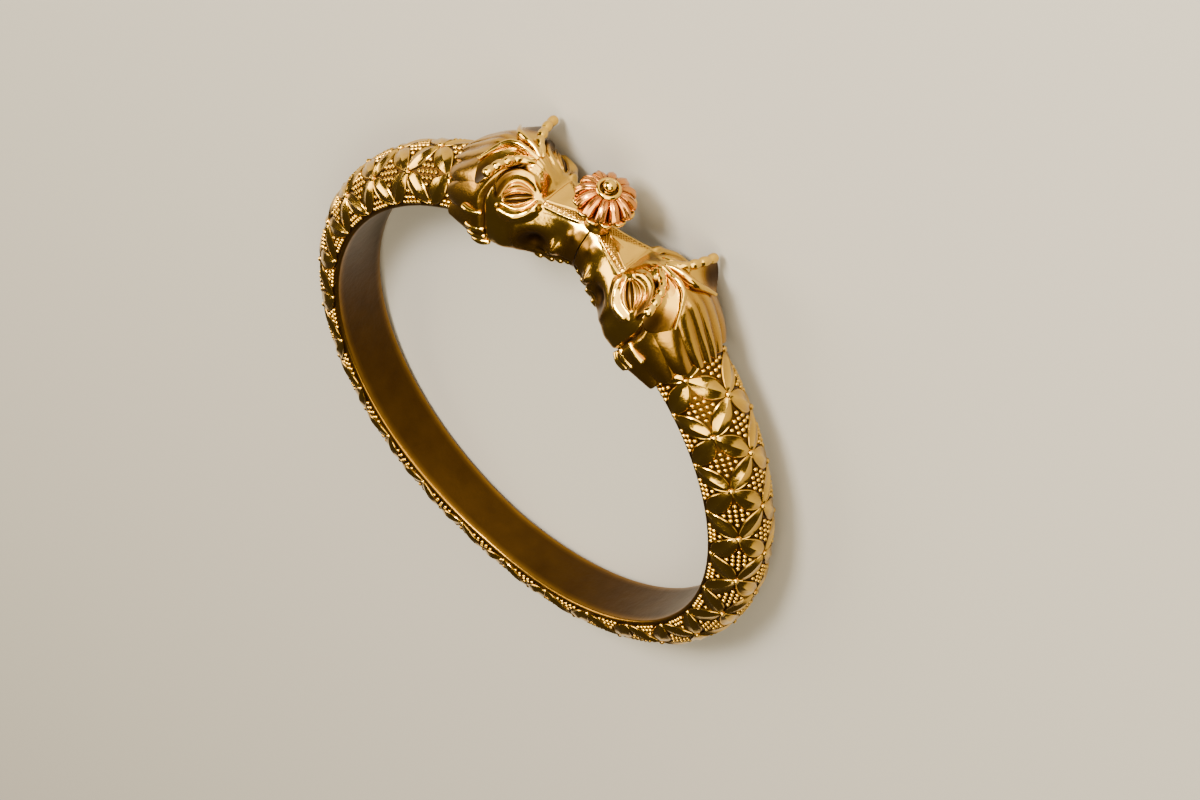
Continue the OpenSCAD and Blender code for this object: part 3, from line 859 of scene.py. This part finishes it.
def skull():
    """The head's skin. Rings run from snout to mane, and a ring goes from the crown down the near
    side to the chin and up the far side. The relief moves a point away from the head's axis."""
    v = crowded(*POINTS)
    arch, lock_share = lock_arch(v)
    angle, flat = skull_places(v, arch)
    rise, side = flat[..., 0], flat[..., 1]
    points = around(angle, rise, side)
    x, y, z = np.moveaxis(points, -1, 0)
    dots = np.sin(x * STIPPLE_RATE) * np.sin((z - STIPPLE_SLANT * y) * STIPPLE_RATE)

    lumps = sum(height * bell(angle, a, along) * bell(rise, r, across) * bell(side, s, across)
                for a, r, s, along, across, height in LUMPS)
    eye, eye_dark, near_eye = eye_relief(points)
    nose, strip = nose_relief(angle, rise, side, dots)
    muzzle = patch(MUZZLE, angle, rise) * after(side, 1.5, 0.5)
    mouth = MOUTH_D * mouth_line(angle, rise, side)
    past = angle - mix(GROOVE_CROWN, GROOVE_CHEEK, after(v, 0.0, 0.5))
    groove = GROOVE_D * bell(past, 0.0, GROOVE_REACH) * after(v, 0.0, 0.25) * (1 - near_eye)
    in_mane = after(past, 0.4, 1.5) * after(angle, 20.6, 2.0)
    locks = LOCK_H * lock_share * in_mane * (arch ** LOCK_POWER - LOCK_SUNK)
    brow = BROW_H * brow_folds(angle, rise, side)

    high = lumps + eye + nose + STIPPLE_H * muzzle * dots - mouth - groove
    high = high + (locks + brow) * (1 - near_eye)
    flat = flat + unit(flat - [CORE_RISE, 0.0]) * high[..., None]
    near = around(angle, flat[..., 0], flat[..., 1])
    far = around(angle, flat[..., 0], -flat[..., 1])[:, -2:0:-1]
    rings = np.concatenate([near, far], axis=1)
    rings[..., 0] = np.maximum(rings[..., 0], SNOUT_GAP / 2)

    # Painted shade in front of the ear's roll, at the snout's end, where it is partly tarnish, but less
    # on the muzzle, on the mane but less on its locks near the crown, and in the hollow of the cheek
    roll = np.array(EAR_ROLL)
    roll_front = np.interp(side, roll[:, 2], roll[:, 0]) - 0.45
    by_roll = bell(angle, roll_front, 0.75) * after(rise, 5.6, 1.2) * after(side, 0.8, 0.8)
    snout = before(angle, 4.8, 3.2) * before(rise, 6.2, 0.8) * (1 - 0.6 * muzzle)
    mane = after(past, 0.3, 1.5) * (1 - 0.5 * after(arch, 0.6, 0.4) * before(v, 0.16, 0.05))
    cheek = patch(CHEEK, angle, rise)
    # The skin's darkness: a little tone all over, the painted shade of the eye, the groove, the mouth's
    # line, the gaps between the locks and the places above, and on the stippled strip and muzzle a
    # darker tone with painted shade between the dots
    dark = (SKIN_DARK + eye_dark + GROOVE_DARK * groove + MOUTH_DARK * mouth
            + LOCK_DARK * (1 - after(arch, 0.0, 0.35)) * lock_share * in_mane
            + ROLL_DARK * by_roll + SNOUT_DARK * snout + MANE_DARK * mane + CHEEK_DARK * cheek
            + (strip + 0.6 * muzzle) * (0.35 - 0.3 * dots))
    dark = np.concatenate([dark, dark[:, -2:0:-1]], axis=1)
    return turned_over(skin(rings, np.clip(dark, 0, 1)))


# The ear is a hollow leaf between a front and a rear rim, given by three places each. Then come how
# deep it is sunk, how far down and out its outer edge is drawn, its thickness, and what its root
# has more of that.
EAR_FRONT = np.array([[15.4, 9.7, 1.0], [17.5, 10.1, 3.7], [18.3, 9.6, 6.3]])
EAR_REAR = np.array([[18.4, 10.5, 0.7], [21.0, 10.0, 2.2], [23.0, 8.8, 3.8]])
EAR_HOLLOW = 0.45
EAR_DOWN = 0.55
EAR_OUT = 1.1
EAR_THICK = 0.6
EAR_ROOT = 1.2

# The ridge along its rear rim, from the forelock over the crest to a knob
EAR_RIDGE = [(14.0, 9.95, 0.12), (15.8, 10.65, 0.45), (17.8, 11.0, 0.62), (19.6, 10.80, 1.10),
             (21.4, 10.05, 2.35), (23.2, 9.0, 3.60)]

# The forelock's fold on one side of the head, between the roll and the ridge
FORELOCK = [(13.8, 9.85, 0.60), (15.6, 10.25, 1.40), (17.2, 10.2, 2.10)]

# The ribs' way back from the end of the jaw: angles, and what is added there to a rise and a side
RIB_WAY = np.array([[20.4, 0.0, -0.35], [22.8, -0.1, 0.04], [25.3, 0.1, -0.05]])

# The ribs on one side of the head
RIBS = [
    # rise side half-width
    [-1.55, 5.45, 0.42],
    [-0.35, 5.90, 0.50],
    [0.85, 6.05, 0.42],
    [3.30, 6.05, 0.40]]

# Knobs along one side of the mouth, with their reach in degrees each way from their angle
MOUTH_KNOBS = [
    # angle rise side reach radius
    [1.9, 0.3, 2.35, 1.0, 0.46],
    [3.9, -0.35, 2.45, 1.2, 0.50],
    [6.3, -0.95, 2.60, 1.4, 0.52],
    [8.9, -1.15, 3.00, 1.3, 0.50]]


def ear_bowl(s, t):
    """The ear's hollow side: straight from the front to the rear rim, sunk by sin(180 t), and at its
    outer edge drawn down and out by the same wave."""
    wave = np.sin(np.pi * t)
    dip = EAR_HOLLOW * wave * mix(0.25, 1.0, after(s, 0.0, 0.6))
    drawn = s ** 2 * wave
    place = mix(spline(EAR_FRONT, s), spline(EAR_REAR, s), t[..., None])
    return place + np.stack([0 * s, -EAR_DOWN * drawn - dip, EAR_OUT * drawn], axis=-1)


def ear():
    """The ear as a closed shell in rings from its front to its rear rim. A ring runs out along the
    hollow side and back along the underside. Its thickness falls to the outer edge by the root of 1
    less nearly s to the power 8."""
    t, s = np.meshgrid(np.linspace(0, 1, 25), np.linspace(0, 1, 33), indexing="ij")
    top = ear_bowl(s, t)
    deep = (EAR_THICK + EAR_ROOT * (1 - s) * np.sin(np.pi * t)) * np.sqrt(1 - 0.98 * s ** 8)
    under = top - np.stack([0 * s, deep, 0.3 * deep], axis=-1)
    places = np.concatenate([top, under[:, ::-1]], axis=1)
    # Painted shade: the hollow side darkens towards its middle and its outer edge, and the underside is
    # half dark
    hollow = np.sqrt(np.sin(np.pi * t)) * after(s, 0.4, 0.35)
    dark = np.concatenate([0.10 + 0.80 * hollow, 0.5 + 0 * t], axis=1)
    return turned_over(skin(at_places(places), dark))


def rib(rise, side, half):
    """A rib that runs back from the end of the jaw."""
    return strand(RIB_WAY + [0, rise, side], half=half, high=0.50, along=20, thin=0.7)


def mouth_knob(angle, rise, side, reach, radius):
    """A knob that lies along the edge of the mouth."""
    path = [(angle - reach, rise, side), (angle + reach, rise - 0.1, side)]
    return strand(path, half=radius, high=radius, along=12)


def face_side():
    """What stands on one side of the head: the ear with its roll and ridge, the forelock's fold,
    the ribs behind the jaw and the knobs at the mouth."""
    return [ear(),
            strand(EAR_ROLL, half=0.62, high=0.62, along=72, across=16, thin=0.55, swells=5),
            strand(EAR_RIDGE, half=0.44, high=0.62, along=48, across=14, thin=0.7, tail=0.4),
            strand(FORELOCK, half=0.60, high=0.42, along=24, across=12, thin=0.4),
            *(rib(*row) for row in RIBS),
            *(mouth_knob(*row) for row in MOUTH_KNOBS)]


def head_trim():
    """The standing parts of both sides of the head."""
    near = face_side()
    return near + [mirrored(shape, 2) for shape in near]


# The flower, in profiles whose distances are from the wrist's centre

# The petals, from the ring round the ball over their tips to the underside. Their darkness is
# painted shade at the ring round the ball and under the petals
PETAL_PROFILE = [
    # radius, distance, petals' share, darkness
    [0.90, PETAL_TOP_Y - 0.20, 0.0, 0.9],
    [1.40, PETAL_TOP_Y - 0.02, 0.0, 0.5],
    [1.62, PETAL_TOP_Y + 0.02, 0.3, 0.4],
    [2.10, PETAL_TOP_Y - 0.08, 0.6, 0.1],
    [2.70, PETAL_TOP_Y - 0.36, 0.8, 0.0],
    [3.25, PETAL_TOP_Y - 0.88, 1.0, 0.0],
    [3.60, PETAL_TOP_Y - 1.48, 1.0, 0.0],
    [3.58, PETAL_TOP_Y - 1.74, 1.0, 0.3],
    [3.10, PETAL_TOP_Y - 1.90, 0.8, 0.8],
    [2.40, PETAL_TOP_Y - 2.05, 0.3, 0.9]]

# The ring round the ball, from its inside over its top to its foot. Its darkness is painted shade
# inside it and at its foot
BEZEL_PROFILE = [
    # radius, distance, darkness
    [0.88, PETAL_TOP_Y - 0.30, 0.9],
    [0.92, PETAL_TOP_Y + 0.10, 0.5],
    [1.02, PETAL_TOP_Y + 0.36, 0.0],
    [1.20, PETAL_TOP_Y + 0.48, 0.0],
    [1.40, PETAL_TOP_Y + 0.42, 0.0],
    [1.53, PETAL_TOP_Y + 0.20, 0.1],
    [1.56, PETAL_TOP_Y - 0.15, 0.7]]

# The lower tier, from the top of its rim down the calyx to the collar's foot. Its darkness is
# painted shade under the petals, down the calyx and at the collar's foot
CALYX_PROFILE = [
    # radius, distance, scallops' share, darkness
    [2.30, PETAL_RIM_Y - 0.05, 0.0, 0.9],
    [3.30, PETAL_RIM_Y - 0.05, 0.8, 0.3],
    [3.68, PETAL_RIM_Y - 0.10, 1.0, 0.0],
    [3.70, PETAL_RIM_Y - 0.45, 1.0, 0.0],
    [3.25, PETAL_RIM_Y - 0.85, 0.6, 0.1],
    [2.20, PETAL_RIM_Y - 1.60, 0.1, 0.3],
    [1.55, PETAL_RIM_Y - 2.20, 0.0, 0.3],
    [1.40, COLLAR_Y + 1.10, 0.0, 0.3],
    [1.55, COLLAR_Y + 0.50, 0.0, 0.3],
    [1.70, COLLAR_Y, 0.0, 0.5]]


def turned_points(radius, distance, turn):
    """Points on a circle round the flower's axis, which runs out of the ring at the front."""
    x, z = radius * np.sin(turn), radius * np.cos(turn)
    return np.stack(np.broadcast_arrays(x, -distance, z), axis=-1)


def petal_waves(turn, offset):
    """Distance from a petal's middle as a share of half its width, 0 on the crest."""
    return 2 * near_whole(PETALS * turn / (2 * np.pi) + offset)


def flower_petals():
    """The upper petals. Across a petal the surface falls like a roof from a raised crest to its
    edges and drops there, and the petal's end is drawn in by w to the power 4."""
    rows = spline(PETAL_PROFILE, np.linspace(0, 1, 61))[:, None]
    turn = np.linspace(0, 2 * np.pi, PETALS * 20, endpoint=False)[None]
    w = petal_waves(turn, 0.0)
    share = np.clip(rows[..., 2], 0, 1)
    radius = rows[..., 0] - share ** 3 * PETAL_CORNER * w ** 4
    drop = share * (PETAL_FALL * w + PETAL_DROP * after(w, 0.78, 0.22) - PETAL_CREST * bell(w, 0, 0.09))
    # Painted shade in the gaps between the petals
    dark = np.clip(rows[..., 3] + share * 0.8 * after(w, 0.80, 0.15), 0, 1)
    return skin(turned_points(radius, rows[..., 1] - drop, turn), dark)


def flower_bezel():
    """The ring that the screw's ball sits in: its profile turned round the flower's axis."""
    rows = spline(BEZEL_PROFILE, np.linspace(0, 1, 31))[:, None]
    turn = np.linspace(0, 2 * np.pi, 48, endpoint=False)[None]
    return skin(turned_points(rows[..., 0], rows[..., 1], turn), rows[..., 2])


def flower_calyx():
    """The lower tier, a thin scalloped rim between the petals, with the calyx and collar below. A
    scallop's corners are drawn in by w to the power 2.5."""
    rows = spline(CALYX_PROFILE, np.linspace(0, 1, 41))[:, None]
    turn = np.linspace(0, 2 * np.pi, PETALS * 12, endpoint=False)[None]
    w = petal_waves(turn, 0.5)
    share = np.clip(rows[..., 2], 0, 1)
    radius = rows[..., 0] - share * SCALLOP_CORNER * w ** 2.5
    return skin(turned_points(radius, rows[..., 1], turn), np.clip(rows[..., 3], 0, 1))


def screw():
    """A ball head on a plain pin, turned round the flower's axis. The ball's profile is its radius
    times the sine and the cosine of a tilt from the axis."""
    tilt = np.radians(np.linspace(4, 150, 20))
    radius = np.concatenate([BALL_R * np.sin(tilt), [SHANK_R, SHANK_R]])
    distance = np.concatenate([BALL_Y + BALL_R * np.cos(tilt), [BALL_Y - BALL_R, SHANK_END_Y]])
    turn = np.linspace(0, 2 * np.pi, 32, endpoint=False)[None]
    # Painted shade on the ball's lower half and on the pin
    dark = np.concatenate([0.5 * after(np.degrees(tilt), 70, 60), [0.6, 0.6]])[:, None]
    return skin(turned_points(radius[:, None], distance[:, None], turn), dark)


# The view, the table and the light

# The soft lights, with distances and sizes in metres. The key is small, which gives the heights
# their sparks, and the other three are broad, which fills the gold with long pale reflections.
LIGHTS = [
    # name, azimuth, elevation, distance, size, power, colour
    ("key", 18, 44, 0.60, 0.17, 13.0, "#FFF8EA"),
    ("front", -12, 24, 0.65, 0.66, 10.5, "#FFF2D0"),
    ("right", 94, 36, 0.60, 0.35, 4.8, "#FFF0CC"),
    ("left", -64, 54, 0.60, 0.44, 5.2, "#FFF2D0")]

# The table's colour and its half size in metres, and the sky's colour and strength
BOARD_COLOUR = "#8C8882"
TABLE_HALF = 2.0
SKY_COLOUR = "#BFB29C"
SKY_STRENGTH = 0.15


def ring_direction(azimuth, elevation):
    """The direction in the ring's frame at an azimuth from the front and an elevation above it."""
    a, e = math.radians(azimuth), math.radians(elevation)
    return Vector((math.sin(a) * math.cos(e), -math.cos(a) * math.cos(e), math.sin(e)))


def set_camera():
    """The camera at the photograph's angle to the ring, rolled as it is there."""
    back = ring_direction(VIEW_AZIMUTH, VIEW_ELEVATION)
    level = back.cross(Vector((0, 0, -1))).normalized()
    raised = level.cross(-back)
    roll = math.radians(VIEW_ROLL)
    right = level * math.cos(roll) + raised * math.sin(roll)
    up = right.cross(-back)
    lean = Matrix.Rotation(-math.radians(LAY_LEAN), 3, "X")
    place = Vector(AIM) + back * VIEW_DISTANCE
    turn = lean @ Matrix((right, up, back)).transposed()
    place = (lean @ place + Vector((0, LAY_BACK, LAY_HEIGHT))) / 1000.0
    data = bpy.data.cameras.new("camera")
    data.lens = LENS_MM
    data.sensor_width = 36.0
    data.clip_start = 0.01
    camera = bpy.data.objects.new("camera", data)
    camera.matrix_world = Matrix.Translation(place) @ turn.to_4x4()
    bpy.context.scene.collection.objects.link(camera)
    bpy.context.scene.camera = camera


def set_light(name, azimuth, elevation, distance, size, power, colour):
    """A square soft light that faces the bangle."""
    data = bpy.data.lights.new(name, "AREA")
    data.size = size
    data.energy = power
    data.color = linear(colour)[:3]
    light = bpy.data.objects.new(name, data)
    direction = ring_direction(azimuth, elevation)
    light.location = direction * distance
    light.rotation_euler = direction.to_track_quat("Z", "Y").to_euler()
    bpy.context.scene.collection.objects.link(light)


def set_studio():
    """A pale table under a dim even sky and four soft lights."""
    mesh = bpy.data.meshes.new("table")
    size = TABLE_HALF
    mesh.from_pydata([(-size, -size, 0), (size, -size, 0), (size, size, 0), (-size, size, 0)], [],
                     [(0, 1, 2, 3)])
    mesh.materials.append(painted_board("matt_pale_board", BOARD_COLOUR))
    table = bpy.data.objects.new("table", mesh)
    bpy.context.scene.collection.objects.link(table)
    world = bpy.data.worlds.new("studio")
    world.use_nodes = True
    sky = world.node_tree.nodes["Background"]
    sky.inputs["Color"].default_value = linear(SKY_COLOUR)
    sky.inputs["Strength"].default_value = SKY_STRENGTH
    bpy.context.scene.world = world
    for row in LIGHTS:
        set_light(*row)


def build():
    """Every piece of the bangle."""
    yellow = plated_gold("yellow_gold_plated_brass", YELLOW_GOLD, YELLOW_POLISH)
    rose = plated_gold("rose_gold_plated_brass", ROSE_GOLD, ROSE_POLISH)
    make_piece("band_ground", [band_ground()], yellow, ["band"], crease=40)
    make_piece("band_leaves", [leaves()], yellow, ["band"], crease=24)
    make_piece("band_grains", [knots(), granules()], yellow, ["band"])
    skin_of_head, trim = skull(), head_trim()
    make_piece("head_left_cast", [skin_of_head], yellow, ["head_left"])
    make_piece("head_left_trim", trim, yellow, ["head_left"])
    make_piece("head_right_cast", [mirrored(skin_of_head, 0)], yellow, ["head_right"])
    make_piece("head_right_trim", [mirrored(s, 0) for s in trim], yellow, ["head_right"])
    make_piece("flower_petals", [flower_petals()], rose, ["flower"], crease=50)
    make_piece("flower_calyx", [flower_calyx(), flower_bezel()], yellow, ["flower"], crease=50)
    make_piece("screw_pin", [screw()], yellow, ["flower_screw"], crease=50)


set_camera()
set_studio()
build()
